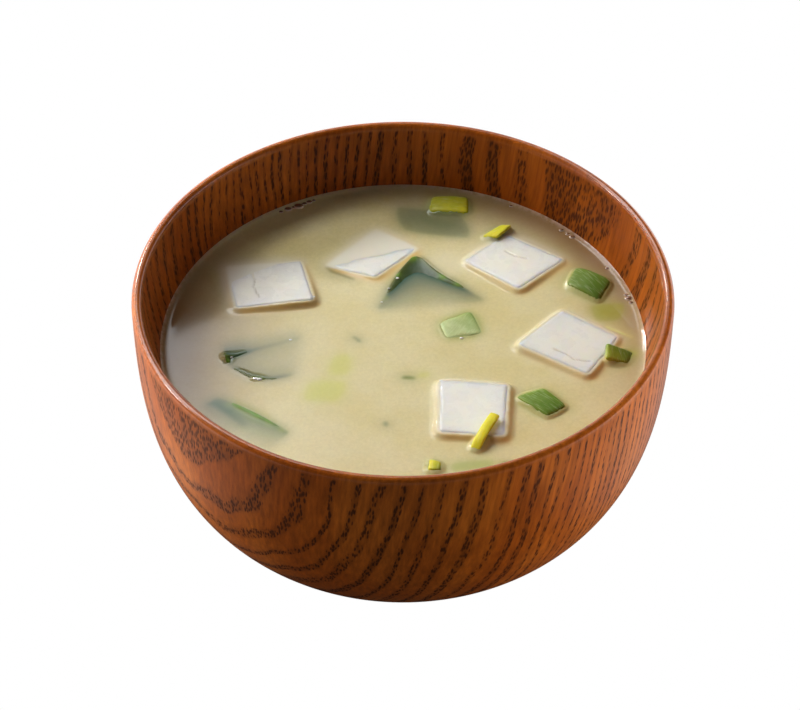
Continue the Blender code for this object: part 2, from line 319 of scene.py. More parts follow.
for azimuth, elevation in ((142, 29), (164, 38), (122, 27)):
    light_panel("glint", azimuth, elevation, PANEL_AWAY, 0.08, 0.05, 110.0, WINDOW_WHITE, glint=True)


# %% The pale screen
SCREEN_FADES_AT = -90.0  # mm from the screen's middle to where its glow has died away


def pale_screen(azimuth, elevation, distance, width, height, lean, radiance):
    """A screen that is only seen mirrored, brightest at its left: the haze on the broth."""
    material, tree, shader, place = new_material("pale_screen")
    tree.nodes.remove(shader)
    across = add(tree, "ShaderNodeSeparateXYZ", {0: place}, out=0)
    share = span(tree, across, -0.5 * width / MM, SCREEN_FADES_AT, smooth=False)
    strength = calc(tree, "MULTIPLY", calc(tree, "POWER", share, 3.0), radiance)
    glow = add(tree, "ShaderNodeEmission", {"Color": rgb(0.96, 0.98, 1.0), "Strength": strength})
    wire(tree, tree.nodes["Material Output"].inputs["Surface"], glow)
    screen = staged_sheet("pale_screen", material, width, height)
    screen.location, screen.rotation_euler = facing_bowl(azimuth, elevation, distance, lean)
    screen.visible_camera = screen.visible_diffuse = screen.visible_shadow = False


pale_screen(112, 50.4, PANEL_AWAY, 0.84, 0.19, lean=4.5, radiance=7.2)

# %% [markdown]
# ## The bowl
#
# The real bowl is turned on a lathe from one block, with a thick floor, a thin mouth with a rounded
# lip, and a low foot. A lathe works on a section, so this does too: half of the section is a line
# of points, and spinning it about the upright axis makes the whole bowl in one closed skin.

# %% The bowl's section
BOWL_HEIGHT = high.z
RIM_RADIUS = rim_radius
RIM_THICKNESS = 2.2 * MM
OUTER_DEPTH, OUTER_POWERS = 60.7 * MM, (3.0, 3.33)
INNER_DEPTH, INNER_POWERS = 55.1 * MM, (1.4, 3.2)
FOOT_RADIUS, FOOT_TAPER, FOOT_RING = 27.0 * MM, 0.6 * MM, 4.2 * MM
FOOT_EDGE, FOOT_RECESS = 0.5 * MM, 4.0 * MM
BOWL_AROUND = 288


def steps(start, end, count):
    """Evenly spaced numbers from start to end, count + 1 of them."""
    return [start + (end - start) * step / count for step in range(count + 1)]


def wall_point(radius, depth, powers, angle):
    """A point of a bowl wall: angle 0 is at the lip, and a quarter turn is on the axis."""
    out = radius * max(math.cos(angle), 0.0) ** (2.0 / powers[1])
    return out, BOWL_HEIGHT - depth * math.sin(angle) ** (2.0 / powers[0])


def wall_angle(share, power):
    """The angle at which a wall is that share of its depth below the lip."""
    return math.asin(share ** (power / 2.0))


def bowl_section():
    """Half of the section, from the middle of the floor, over the lip, to under the foot."""
    bead = RIM_THICKNESS / 2.0
    mouth = RIM_RADIUS - RIM_THICKNESS
    inside = wall_angle(bead / INNER_DEPTH, INNER_POWERS[0])
    outside = wall_angle(bead / OUTER_DEPTH, OUTER_POWERS[0])
    foot_joint = math.acos((FOOT_RADIUS / RIM_RADIUS) ** (OUTER_POWERS[1] / 2.0))
    section = [wall_point(mouth, INNER_DEPTH, INNER_POWERS, a) for a in steps(math.pi / 2, inside, 48)]
    section[0] = (0.0, section[0][1])
    for turn in steps(math.pi, 0.0, 14)[1:-1]:
        out = RIM_RADIUS - bead + bead * math.cos(turn)
        section.append((out, BOWL_HEIGHT - bead + bead * math.sin(turn)))
    section += [wall_point(RIM_RADIUS, OUTER_DEPTH, OUTER_POWERS, a) for a in steps(outside, foot_joint, 48)]
    foot_out = FOOT_RADIUS - FOOT_TAPER
    foot_in = foot_out - FOOT_RING
    section += [
        (foot_out, FOOT_EDGE),
        (foot_out - 0.3 * FOOT_EDGE, 0.3 * FOOT_EDGE),
        (foot_out - FOOT_EDGE, 0.0),
        (foot_in + FOOT_EDGE, 0.0),
        (foot_in + 0.3 * FOOT_EDGE, 0.3 * FOOT_EDGE),
        (foot_in, FOOT_EDGE),
        (foot_in - FOOT_EDGE, FOOT_RECESS),
        (0.0, FOOT_RECESS),
    ]
    return section


def spun(section, around):
    """A closed body turned about the upright axis from half of its section."""
    bm = bmesh.new()
    line = [bm.verts.new((out, 0.0, height)) for out, height in section]
    edges = [bm.edges.new(pair) for pair in zip(line, line[1:])]
    bmesh.ops.spin(
        bm, geom=line + edges, axis=(0, 0, 1), cent=(0, 0, 0), angle=2 * math.pi, steps=around, use_merge=True
    )
    bmesh.ops.remove_doubles(bm, verts=bm.verts[:], dist=0.001 * MM)
    bmesh.ops.recalc_face_normals(bm, faces=bm.faces[:])
    return bm


def keep_values(piece, name, values):
    """Stores one number, or one colour, per vertex for the piece's finish to read."""
    colour = len(np.shape(values)) == 2
    kind, field = ("FLOAT_COLOR", "color") if colour else ("FLOAT", "value")
    attribute = piece.data.attributes.new(name, kind, "POINT")
    attribute.data.foreach_set(field, np.asarray(values, np.float32).ravel())


def attribute(tree, name, out=2):
    """An attribute of the piece: output 0 is its colour and 2 is its number."""
    return add(tree, "ShaderNodeAttribute", out=out, attribute_name=name)


def finish_piece(name, bm, material, slot, *replaced):
    """Makes a mesh piece of the bmesh, smooth, in its finish, riding on the bowl's body."""
    mesh = bpy.data.meshes.new(name)
    bm.to_mesh(mesh)
    bm.free()
    mesh.shade_smooth()
    mesh.materials.append(material)
    piece = bpy.data.objects.new(name, mesh)
    bpy.context.scene.collection.objects.link(piece)
    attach(piece, "root")
    if replaced:
        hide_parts(*replaced)
    print(name, sum(len(p.vertices) - 2 for p in mesh.polygons), "triangles")
    return piece


# %% [markdown]
# ## Lacquered zelkova wood
#
# Zelkova is ring-porous: each year's growth starts with a band of wide open vessels, which show as
# short dark dashes along the fibre, and ends in dense plain wood. The blank was sawn so that the
# fibre stands upright and the year rings are nearly flat sheets through the bowl. A sheet that meets
# the round wall square on shows as nested arcs, and one that meets it edge on as upright stripes,
# so one solid pattern, read from the place in the block, makes both with no seam.

# %% Wood
RING_TURN = math.radians(42.0)  # the way across the year rings, from the right
RING_LEAN = math.radians(9.0)  # how far the rings lean from upright
BLOCK_HALF = 65.0  # mm from the middle of the block to where the rings are counted from
RING_TOTAL = 50.0  # rings across the block
# The tree had a run of wide years: how far across the block they lie, how far they spread, and the
# share of all the rings that they push aside.
WIDE_YEARS_AT, WIDE_YEARS_SPREAD, WIDE_YEARS_PUSH = 0.36, 0.20, 0.07
BAND_FILLS = 0.26  # share of a year from the band's first vessels to its full width
BAND_STOPS = 0.82  # and where it starts to close
WOOD_PALE = rgb(0.46, 0.118, 0.009)
WOOD_DEEP = rgb(0.33, 0.070, 0.004)
PORE_DARK = rgb(0.055, 0.013, 0.002)


def year_rings(tree, block):
    """How many year rings lie between the edge of the block and each place in it."""
    slow = turned(tree, block, scale=(0.035, 0.035, 0.02))
    sway = calc(tree, "MULTIPLY", calc(tree, "SUBTRACT", noise(tree, slow, 1.0, 2.0), 0.5), 7.0)
    ripple_place = turned(tree, block, scale=(0.16, 0.16, 0.05))
    ripple = calc(tree, "MULTIPLY", calc(tree, "SUBTRACT", noise(tree, ripple_place, 1.0, 1.0), 0.5), 1.2)
    across = add(tree, "ShaderNodeSeparateXYZ", {0: block}, out=0)
    across = calc(tree, "ADD", across, calc(tree, "ADD", sway, ripple))
    share = calc(tree, "DIVIDE", calc(tree, "ADD", across, BLOCK_HALF), 2.0 * BLOCK_HALF, clamp=True)
    off = calc(tree, "DIVIDE", calc(tree, "SUBTRACT", share, WIDE_YEARS_AT), WIDE_YEARS_SPREAD)
    wide = calc(tree, "EXPONENT", calc(tree, "MULTIPLY", calc(tree, "POWER", off, 2.0), -1.0))
    share = calc(tree, "SUBTRACT", share, calc(tree, "MULTIPLY", wide, WIDE_YEARS_PUSH))
    return calc(tree, "MULTIPLY", share, RING_TOTAL)


def pore_band(tree, rings):
    """The band of open vessels that starts each year, from 0 to 1. Years differ in width and strength."""
    year = calc(tree, "FRACT", rings)
    each = add(tree, "ShaderNodeTexWhiteNoise", {"W": calc(tree, "FLOOR", rings)}, noise_dimensions="1D")
    start = span(tree, each, 0.0, 1.0, 0.30, 0.55, smooth=False)
    filled = calc(tree, "ADD", start, BAND_FILLS)
    band = calc(tree, "MULTIPLY", span(tree, year, start, filled), span(tree, year, 1.0, BAND_STOPS))
    again = calc(tree, "FRACT", calc(tree, "MULTIPLY", each, 7.31))  # a second draw from the first
    return calc(tree, "MULTIPLY", band, span(tree, again, 0.0, 1.0, 0.50, 1.0, smooth=False))


# %% The wood's finish
def wood_finish():
    """Zelkova under a clear lacquer, which is thickest on the lip."""
    material, tree, shader, place = new_material(
        "lacquered_zelkova", Coat_Roughness=0.18, Coat_IOR=1.5, Specular_IOR_Level=0.1
    )
    block = turned(tree, turned(tree, place, turn=(0.0, 0.0, -RING_TURN)), turn=(0.0, -RING_LEAN, 0.0))
    band = pore_band(tree, year_rings(tree, block))
    dash_place = turned(tree, block, scale=(1.9, 1.9, 0.50))
    cells = add(
        tree, "ShaderNodeTexVoronoi", {"Vector": dash_place, "Scale": 1.0, "Randomness": 1.0}, feature="F1"
    )
    open_width = span(tree, band, 0.0, 0.55, 0.06, 0.66, smooth=False)
    dash = span(tree, cells, open_width, calc(tree, "MULTIPLY", open_width, 0.45))
    hair_place = turned(tree, block, scale=(1.1, 1.1, 0.05))
    hair = noise(tree, hair_place, 1.0, 4.0, 0.65)
    cloud = noise(tree, turned(tree, block, scale=(0.06, 0.06, 0.03)), 1.0, 3.0)

    height = add(tree, "ShaderNodeSeparateXYZ", {0: place}, out=2)
    lip = span(tree, height, BOWL_HEIGHT / MM - 1.9, BOWL_HEIGHT / MM - 0.9)
    fibre_shown = calc(tree, "SUBTRACT", 1.0, calc(tree, "MULTIPLY", lip, 0.85))
    band = calc(tree, "MULTIPLY", band, fibre_shown)
    outside = attribute(tree, "outside")
    gloss = calc(tree, "ADD", 0.10, calc(tree, "MULTIPLY", outside, 0.30))
    wire(tree, shader.inputs["Coat Weight"], calc(tree, "MAXIMUM", gloss, lip))
    colour = mix(tree, span(tree, cloud, 0.3, 0.7), WOOD_DEEP, WOOD_PALE)
    streak = span(tree, hair, 0.28, 0.70, 0.60, 1.22, smooth=False)
    colour = dimmed(tree, colour, streak)
    colour = mix(tree, calc(tree, "MULTIPLY", band, 0.46), colour, PORE_DARK)
    shown_dash = calc(tree, "MULTIPLY", dash, fibre_shown)
    depth = calc(tree, "MULTIPLY", shown_dash, span(tree, band, 0.0, 0.6, 0.15, 0.92))
    colour = mix(tree, depth, colour, PORE_DARK)
    wire(tree, shader.inputs["Base Color"], colour)
    wire(tree, shader.inputs["Roughness"], span(tree, depth, 0.0, 1.0, 0.34, 0.55, smooth=False))
    relief = calc(tree, "SUBTRACT", calc(tree, "MULTIPLY", hair, 0.15), calc(tree, "MULTIPLY", depth, 0.5))
    wire(tree, shader.inputs["Normal"], bump(tree, relief, 0.02 * MM))
    wire(tree, shader.inputs["Coat Normal"], bump(tree, hair, 0.004 * MM))
    return material


# %% Turn the bowl
wood = wood_finish()
bm = spun(bowl_section(), BOWL_AROUND)
bm.normal_update()
outside = [float(v.normal.to_2d().dot(v.co.to_2d()) > 0.0 or v.co.z < 5 * MM) for v in bm.verts]
bowl = finish_piece("turned_bowl", bm, wood, "wood", "bowl")
keep_values(bowl, "outside", outside)

# %% [markdown]
# ## Taking shapes from the solid model
#
# Each garnish solid already has its place, size and tilt, but only a few flat faces. A merged copy
# of its mesh is the start of the finer piece that stands for it. The solid itself stays as it is.


# %% Helpers for garnish shapes
def solid_shape(node):
    """A merged copy of a solid's mesh, which comes as loose triangles."""
    bm = bmesh.new()
    bm.from_mesh(nodes[node].data)
    bmesh.ops.remove_doubles(bm, verts=bm.verts[:], dist=0.001 * MM)
    return bm


def smoothed(bm, levels):
    """The bmesh after that many levels of smooth subdivision."""
    mesh = bpy.data.meshes.new("rough_shape")
    bm.to_mesh(mesh)
    bm.free()
    rough = bpy.data.objects.new("rough_shape", mesh)
    bpy.context.scene.collection.objects.link(rough)
    smooth = rough.modifiers.new("smooth", "SUBSURF")
    smooth.levels = levels
    smooth.render_levels = levels
    evaluated = rough.evaluated_get(bpy.context.evaluated_depsgraph_get())
    fine = bmesh.new()
    fine.from_mesh(evaluated.to_mesh())
    bpy.data.objects.remove(rough)
    bpy.data.meshes.remove(mesh)
    return fine


def wave(point, size, seed=0.0):
    """Smooth unevenness from -1 to 1, over lumps of that size in metres."""
    return perlin(Vector(point) / size + Vector((seed, 2.7 * seed, 0.3)))


def nearness(bm, reach):
    """For each vertex, from 1 at the piece's outline to 0 well inside it."""
    bm.normal_update()
    rim = [v for v in bm.verts if abs(v.normal.z) < 0.35]
    tree = KDTree(len(rim))
    for number, vert in enumerate(rim):
        tree.insert(vert.co, number)
    tree.balance()
    return [math.exp(-tree.find(v.co)[2] / reach) for v in bm.verts]


# %% [markdown]
# ## Two effects that several finishes share
#
# All that floats in the broth is wet, and everything grown or cooked is mottled. Each effect is one
# group with its own inputs, so that it is built once and set differently in each finish.


# %% Shared groups
def new_group(name, inputs, outputs):
    """An empty node group with named sockets. Each input has a kind and a starting value."""
    group = bpy.data.node_groups.new(name, "ShaderNodeTree")
    for socket, (kind, value) in inputs.items():
        made = group.interface.new_socket(socket, in_out="INPUT", socket_type="NodeSocket" + kind)
        if value is not None:
            made.default_value = value
    for socket, kind in outputs.items():
        group.interface.new_socket(socket, in_out="OUTPUT", socket_type="NodeSocket" + kind)
    start, end = group.nodes.new("NodeGroupInput"), group.nodes.new("NodeGroupOutput")
    return group, start.outputs, end.inputs


def use_group(tree, group, out, **inputs):
    """One output of a group, placed in a finish with that finish's own values."""
    made = tree.nodes.new("ShaderNodeGroup")
    made.node_tree = group
    for name, value in inputs.items():
        wire(tree, made.inputs[name.replace("_", " ")], value)
    return made.outputs[out]


mottle, given, result = new_group(
    "mottle",
    {"Place": ("Vector", None), "Colour": ("Color", rgb(1, 1, 1)), "Second": ("Color", rgb(1, 1, 1)),
     "Size": ("Float", 3.0), "Amount": ("Float", 0.5)},
    {"Colour": "Color"},
)
frequency = calc(mottle, "DIVIDE", 1.0, given["Size"])
cloud = noise(mottle, given["Place"], frequency, 4.0, 0.6)
share = calc(mottle, "MULTIPLY", span(mottle, cloud, 0.3, 0.7), given["Amount"])
wire(mottle, result["Colour"], mix(mottle, share, given["Colour"], given["Second"]))

wet, given, result = new_group(
    "wet_skin",
    {"Place": ("Vector", None), "Size": ("Float", 1.0), "Relief": ("Float", 0.05 * MM),
     "Gloss": ("Float", 0.1)},
    {"Normal": "Vector", "Roughness": "Float"},
)
frequency = calc(wet, "DIVIDE", 1.0, given["Size"])
lumps = noise(wet, given["Place"], frequency, 3.0, 0.55)
wire(wet, result["Normal"], bump(wet, lumps, given["Relief"]))
film = noise(wet, given["Place"], calc(wet, "MULTIPLY", frequency, 0.35), 2.0)
wire(wet, result["Roughness"], calc(wet, "ADD", given["Gloss"], span(wet, film, 0.4, 0.75, 0.0, 0.16)))
print("groups:", [g.name for g in bpy.data.node_groups])

# %% [markdown]
# ## Tofu
#
# Silken tofu is set soy milk, cut with a knife into blocks. Its cut faces are nearly flat and its
# edges are soft; it is wet and lets light a little way in. A few fine cracks open where a block has
# flexed. Each block starts as a finely divided cube. The cube's edges are rounded first, and then its
# eight corners are moved to those that the solid was cut from, found where its flat faces meet.

# %% Tofu blocks
TOFU_CUTS = 58
TOFU_ROUNDING = 1.2 * MM
CRACK_WIDTH, CRACK_DEPTH, CRACK_WANDER = 0.17 * MM, 0.22 * MM, 0.12 * MM
# Where the cracks run, as shares from the front corner to the right one and to the left one.
TOFU_CRACKS = {
    "tofu_left": ((0.33, 0.80), (0.35, 0.62), (0.31, 0.45), (0.34, 0.20)),
    "tofu_right": ((0.21, 0.59), (0.23, 0.45), (0.19, 0.29), (0.28, 0.11)),
    "tofu_back_right": ((0.62, 0.72), (0.60, 0.55), (0.66, 0.40)),
}


def block_corners(node):
    """The sharp corners that a bevelled block was cut from: four on top, from the front, and four below."""
    bm = solid_shape(node)
    bmesh.ops.dissolve_limit(bm, angle_limit=math.radians(0.5), verts=bm.verts[:], edges=bm.edges[:])
    flats = sorted(bm.faces, key=lambda face: face.calc_area())[-6:]
    planes = sorted(((f.normal.copy(), f.calc_center_median()) for f in flats), key=lambda p: p[0].z)
    sides = sorted(planes[1:-1], key=lambda p: math.atan2(p[0].y, p[0].x))
    bm.free()
    corners = []
    for flat in (planes[-1], planes[0]):
        for first, second in zip(sides, sides[1:] + sides[:1]):
            three = (flat, first, second)
            corners.append(np.linalg.solve([p[0] for p in three], [p[0].dot(p[1]) for p in three]))
    front = min(range(4), key=lambda i: corners[i][1] + 0.2 * corners[i][0])
    order = [(front + i) % 4 for i in range(4)]
    return np.array([corners[i] for i in order] + [corners[i + 4] for i in order])


def line_distance(point, line):
    """How far a flat point is from a line of points."""
    best = 1.0
    for start, end in zip(line, line[1:]):
        along = end - start
        share = min(max((point - start).dot(along) / along.length_squared, 0.0), 1.0)
        best = min(best, (point - start - along * share).length)
    return best


def corner_shares(right, back):
    """How much each of four corners, from the front left, counts at a place between them."""
    return np.array([(1 - right) * (1 - back), right * (1 - back), right * back, (1 - right) * back]).T


def vertex_places(bm):
    """The places of a shape's vertices, as rows of numbers."""
    return np.array([v.co[:] for v in bm.verts])


def tofu_block(name, corners, cuts, seed, crack=()):
    """A rounded, slightly uneven block over eight corners."""
    sides = [corners[1] - corners[0], corners[3] - corners[0], corners[4] - corners[0]]
    halves = np.linalg.norm(sides, axis=1) / 2.0
    bm = bmesh.new()
    bmesh.ops.create_cube(bm, size=2.0)
    bmesh.ops.subdivide_edges(bm, edges=bm.edges[:], cuts=cuts, use_grid_fill=True)

    sharp = vertex_places(bm) * halves
    core = np.clip(sharp, TOFU_ROUNDING - halves, halves - TOFU_ROUNDING)
    outward = (sharp - core) / np.linalg.norm(sharp - core, axis=1)[:, None]
    right, back, up = (((core + outward * TOFU_ROUNDING) / halves + 1.0) / 2.0).T
    shares = corner_shares(right, back)
    places = up[:, None] * (shares @ corners[:4]) + (1 - up[:, None]) * (shares @ corners[4:])

    line = []
    for to_right, to_back in crack:
        near, far = (corners[i] + (corners[j] - corners[i]) * to_right for i, j in ((0, 1), (3, 2)))
        line.append(Vector(near + (far - near) * to_back).to_2d())

    opened = []
    for vert, place, outwards, height in zip(bm.verts, places, outward, up):
        point = Vector(place)
        uneven = 0.09 * wave(point, 6.5 * MM, seed) + 0.025 * wave(point, 1.9 * MM, seed)
        point += Vector(outwards) * uneven * MM
        gap = 0.0
        if line and height > 0.9:
            wander = Vector((wave(point, 0.9 * MM, 3.0), wave(point, 0.9 * MM, 5.0))) * CRACK_WANDER
            gap = math.exp(-((line_distance(point.to_2d() + wander, line) / CRACK_WIDTH) ** 2))
            point.z -= CRACK_DEPTH * gap
        opened.append(gap)
        vert.co = point

    replaced = [name] if name in nodes else []
    piece = finish_piece(name + "_cut", bm, tofu, "tofu", *replaced)
    keep_values(piece, "crack", opened)
    return piece


# %% The tofu's finish
def tofu_finish():
    """Set soy milk: two close whites, small pits, and brown in the cracks."""
    material, tree, shader, place = new_material(
        "silken_tofu", Coat_Weight=0.35, Coat_Roughness=0.09, IOR=1.36,
        Subsurface_Weight=0.8, Subsurface_Scale=3.0 * MM, Subsurface_Radius=(1.0, 0.85, 0.6),
    )
    white, cream, crack_brown = rgb(0.96, 0.93, 0.86), rgb(0.93, 0.89, 0.78), rgb(0.42, 0.36, 0.24)
    colour = use_group(tree, mottle, "Colour", Place=place, Colour=white, Second=cream, Size=4.0, Amount=0.7)
    pits = span(tree, noise(tree, place, 2.6, 3.0, 0.6), 0.30, 0.42, 1.0, 0.0)
    colour = mix(tree, calc(tree, "MULTIPLY", pits, 0.12), colour, crack_brown)
    colour = mix(tree, calc(tree, "MULTIPLY", attribute(tree, "crack"), 0.5), colour, crack_brown)
    wire(tree, shader.inputs["Base Color"], colour)
    skin = {"Place": place, "Size": 1.4, "Relief": 0.05 * MM, "Gloss": 0.26}
    wire(tree, shader.inputs["Normal"], use_group(tree, wet, "Normal", **skin))
    wire(tree, shader.inputs["Roughness"], use_group(tree, wet, "Roughness", **skin))
    return material


# %% Cut the blocks
tofu = tofu_finish()
TOFU_LIFTS = {"tofu_back": 0.22 * MM, "tofu_left": 0.10 * MM}  # blocks that ride a little higher
floating = {}
for seed, name in enumerate(sorted(name for name in nodes if name.startswith("tofu"))):
    corners = block_corners(name)
    corners[:, 2] += TOFU_LIFTS.get(name, 0.0)
    floating[name] = tofu_block(name, corners, TOFU_CUTS, seed + 1.0, TOFU_CRACKS.get(name, ()))

# %% [markdown]
# ## Wakame
#
# Wakame is a thin brown-green seaweed that turns limp and slick in hot broth. Its flat is nearly
# black-green and its thin edges let light through and look olive. Each leaf starts from its solid,
# is subdivided until it bends smoothly, and is then ruffled by soft noise that grows towards the edge.

# %% Wakame leaves
WAKAME_LEVELS = 2
RUFFLE = 0.16 * MM
# For each leaf in mm: how far its middle sags and how far all of it is raised; the folds that stand
# up in it, each with a height, a width and its line; and the spots where it is green, with radii.
WAKAME_FORMS = {
    "wakame_centre": (
        0.17, -0.25, (),
        ((9.0, 21.2, 1.0), (12.4, 18.9, 0.9), (-1.4, 21.6, 0.8), (-4.4, 14.4, 0.9), (2.0, 27.4, 1.2)),
    ),
    "wakame_left": (
        0.60, -0.72,
        (
            (0.85, 0.8, ((-38.6, -5.6), (-35.8, -4.6), (-31.5, -2.5), (-26.5, -0.6), (-23.0, 0.9))),
            (0.85, 2.4, ((-39.0, -2.6), (-35.4, -1.4))),
            (0.65, 0.8, ((-38.9, -6.2), (-37.5, -6.7))),
            (0.68, 0.8, ((-36.2, -8.8), (-32.6, -11.3), (-28.0, -11.9), (-24.5, -11.0))),
            (0.30, 0.8, ((-32.2, -12.2), (-30.4, -12.5))),
        ),
        ((-38.2, -6.7, 0.9), (-31.0, -12.6, 1.0)),
    ),
    "wakame_front_left": (
        0.10, -0.42,
        (
            (0.42, 1.3, ((-41.8, -19.0), (-37.1, -22.6), (-34.0, -26.0))),
            (-0.40, 1.4, ((-40.6, -16.8), (-37.4, -18.2))),
        ),
        (
            (-36.0, -19.4, 1.3), (-34.4, -20.8, 1.3), (-32.8, -22.0, 1.3), (-30.9, -23.2, 1.7),
            (-28.2, -25.0, 1.7), (-25.4, -27.2, 1.4),
        ),
    ),
}


def quad_shape(node):
    """The solid's shape with its triangles joined in pairs, ready to subdivide."""
    bm = solid_shape(node)
    limit = math.radians(60.0)
    bmesh.ops.join_triangles(
        bm, faces=bm.faces[:], angle_face_threshold=limit, angle_shape_threshold=limit
    )
    return bm


def ruffled(bm, amount, size, seed, edge, hollow=0.0):
    """Lifts a sheet by soft noise, mostly near its edges, and lets its middle sag by the hollow."""
    for vert, near in zip(bm.verts, edge):
        flat = Vector((vert.co.x, vert.co.y, 0.0))
        lift = wave(flat, size, seed) + 0.4 * wave(flat, 0.4 * size, seed + 9.0)
        vert.co.z += amount * lift * (0.35 + 0.65 * near) - hollow * (1.0 - near)


# %% The wakame's finish
def wakame_finish():
    """Slick leaf: nearly black green to teal, olive at its thin edges, bright green in spots."""
    material, tree, shader, place = new_material(
        "wakame_leaf", Coat_Weight=0.3, Coat_Roughness=0.08, IOR=1.3,
        Subsurface_Weight=0.08, Subsurface_Scale=0.5 * MM,
    )
    deep, teal, olive = rgb(0.030, 0.055, 0.012), rgb(0.055, 0.095, 0.045), rgb(0.200, 0.205, 0.030)
    colour = use_group(tree, mottle, "Colour", Place=place, Colour=deep, Second=teal, Size=5.0, Amount=0.9)
    colour = mix(tree, calc(tree, "MULTIPLY", attribute(tree, "edge"), 0.8), colour, olive)
    colour = mix(tree, attribute(tree, "green"), colour, rgb(0.16, 0.30, 0.025))
    wire(tree, shader.inputs["Base Color"], colour)
    skin = {"Place": place, "Size": 0.9, "Relief": 0.05 * MM, "Gloss": 0.35}
    wire(tree, shader.inputs["Normal"], use_group(tree, wet, "Normal", **skin))
    wire(tree, shader.inputs["Roughness"], use_group(tree, wet, "Roughness", **skin))
    return material


# %% Bend the leaves
wakame = wakame_finish()
for seed, name in enumerate(sorted(n for n in nodes if n.startswith("wakame"))):
    sag, raised, folds, spots = WAKAME_FORMS[name]
    bm = smoothed(quad_shape(name), WAKAME_LEVELS)
    edge = nearness(bm, 0.6 * MM)
    ruffled(bm, RUFFLE, 4.0 * MM, seed + 2.0, edge, sag * MM)
    green = []
    for vert in bm.verts:
        flat = vert.co.to_2d()
        for height, width, line in folds:
            apart = line_distance(flat, [Vector(point) * MM for point in line]) / (width * MM)
            vert.co.z += height * MM * math.exp(-(apart**2))
        vert.co.z += raised * MM
        near = (math.exp(-((flat / MM - Vector((x, y))).length / radius) ** 2) for x, y, radius in spots)
        green.append(min(sum(near), 1.0))
    floating[name] = finish_piece(name + "_leaf", bm, wakame, "wakame", name)
    keep_values(floating[name], "edge", edge)
    keep_values(floating[name], "green", green)

# %% [markdown]
# ## Spring onion
#
# The slices are cut from hollow leaves, so most are short curved strips. Near the bulb they are
# yellow-green, further up a deep green, with fine ribs along the leaf and a pale bloom. Each slice
# starts from its solid too. It carries a colour that runs from corner to corner, chosen for that
# slice, and a flat map turned along its ribs.

# %% Spring onion slices
ONION_LEVELS = 2
LIME, LEAF, DEEP = (0.88, 0.80, 0.025), (0.18, 0.30, 0.030), (0.055, 0.150, 0.015)
PALE, OLIVE, CREAM = (0.60, 0.68, 0.34), (0.50, 0.48, 0.03), (0.74, 0.66, 0.28)
MOSS = (0.13, 0.20, 0.018)
# For each slice: which way its ribs run, in degrees from the right, and its colour at the
# front left, front right, back right and back left of its box.
ONION_SLICES = {
    "onion_back": (0, (OLIVE, LIME, OLIVE, OLIVE)),
    "onion_ring": (128, (MOSS, DEEP, LEAF, MOSS)),
    "onion_right": (100, (OLIVE, DEEP, DEEP, LEAF)),
    "onion_leaf": (-40, (LEAF, DEEP, LEAF, LEAF)),
    "onion_pale": (60, (PALE, PALE, LEAF, PALE)),
    "onion_yellow": (40, (LIME, LIME, LIME, OLIVE)),
    "onion_front": (90, (LIME, LEAF, LIME, LIME)),
    "onion_strip": (64, (LIME, LIME, LIME, LIME)),
}


def corner_colours(bm, palette):
    """A colour for each vertex, run between four colours at the corners of the shape's box."""
    places = vertex_places(bm)
    first, last = places.min(0), places.max(0)
    right, back = ((places - first) / (last - first))[:, :2].T
    return np.hstack([corner_shares(right, back) @ np.array(palette), np.ones((len(places), 1))])


def rib_map(piece, degrees):
    """A flat map in millimetres whose second direction runs along the ribs."""
    along = Vector((math.cos(math.radians(degrees)), math.sin(math.radians(degrees))))
    layer = piece.data.uv_layers.new(name="ribs")
    for loop in piece.data.loops:
        spot = piece.data.vertices[loop.vertex_index].co.to_2d() / MM
        layer.data[loop.index].uv = (spot.cross(along), spot.dot(along))


# %% The onion's finish
def onion_finish():
    """Ribbed leaf in the slice's own colours, with a pale bloom between the ribs."""
    material, tree, shader, place = new_material(
        "spring_onion", Coat_Weight=0.12, Coat_Roughness=0.08, IOR=1.33,
        Subsurface_Weight=0.15, Subsurface_Scale=0.8 * MM,
    )
    ribs_at = add(tree, "ShaderNodeUVMap", uv_map="ribs")
    ribs = noise(tree, turned(tree, ribs_at, scale=(3.2, 0.35, 1.0)), 1.0, 2.0, 0.5)
    tint = attribute(tree, "tint", 0)
    darker = mix(tree, 1.0, tint, rgb(0.68, 0.74, 0.6), "MULTIPLY")
    colour = use_group(tree, mottle, "Colour", Place=place, Colour=tint, Second=darker, Size=2.2, Amount=0.6)
    bloom = mix(tree, 0.30, tint, rgb(0.66, 0.72, 0.42))
    colour = mix(tree, span(tree, ribs, 0.48, 0.72, 0.0, 0.75), colour, bloom)
    edge_pale = mix(tree, 0.45, tint, rgb(0.55, 0.62, 0.12))
    colour = mix(tree, calc(tree, "MULTIPLY", attribute(tree, "edge"), 0.6), colour, edge_pale)
    wire(tree, shader.inputs["Base Color"], colour)
    skin = {"Place": place, "Size": 1.0, "Relief": 0.03 * MM, "Gloss": 0.40}
    wire(tree, shader.inputs["Roughness"], use_group(tree, wet, "Roughness", **skin))
    lumps = use_group(tree, wet, "Normal", **skin)
    wire(tree, shader.inputs["Normal"], bump(tree, ribs, 0.09 * MM, lumps))
    return material


# %% Cut the slices
onion = onion_finish()
for seed, (name, (ribs, palette)) in enumerate(ONION_SLICES.items()):
    bm = smoothed(quad_shape(name), ONION_LEVELS)
    edge = nearness(bm, 0.45 * MM)
    ruffled(bm, 0.10 * MM, 2.2 * MM, seed + 20.0, edge)
    tints = corner_colours(bm, palette)
    slot = "onion_yellow" if LIME in palette else "onion_green"
    floating[name] = finish_piece(name + "_slice", bm, onion, slot, name)
    keep_values(floating[name], "edge", edge)
    keep_values(floating[name], "tint", tints)
    rib_map(floating[name], ribs)

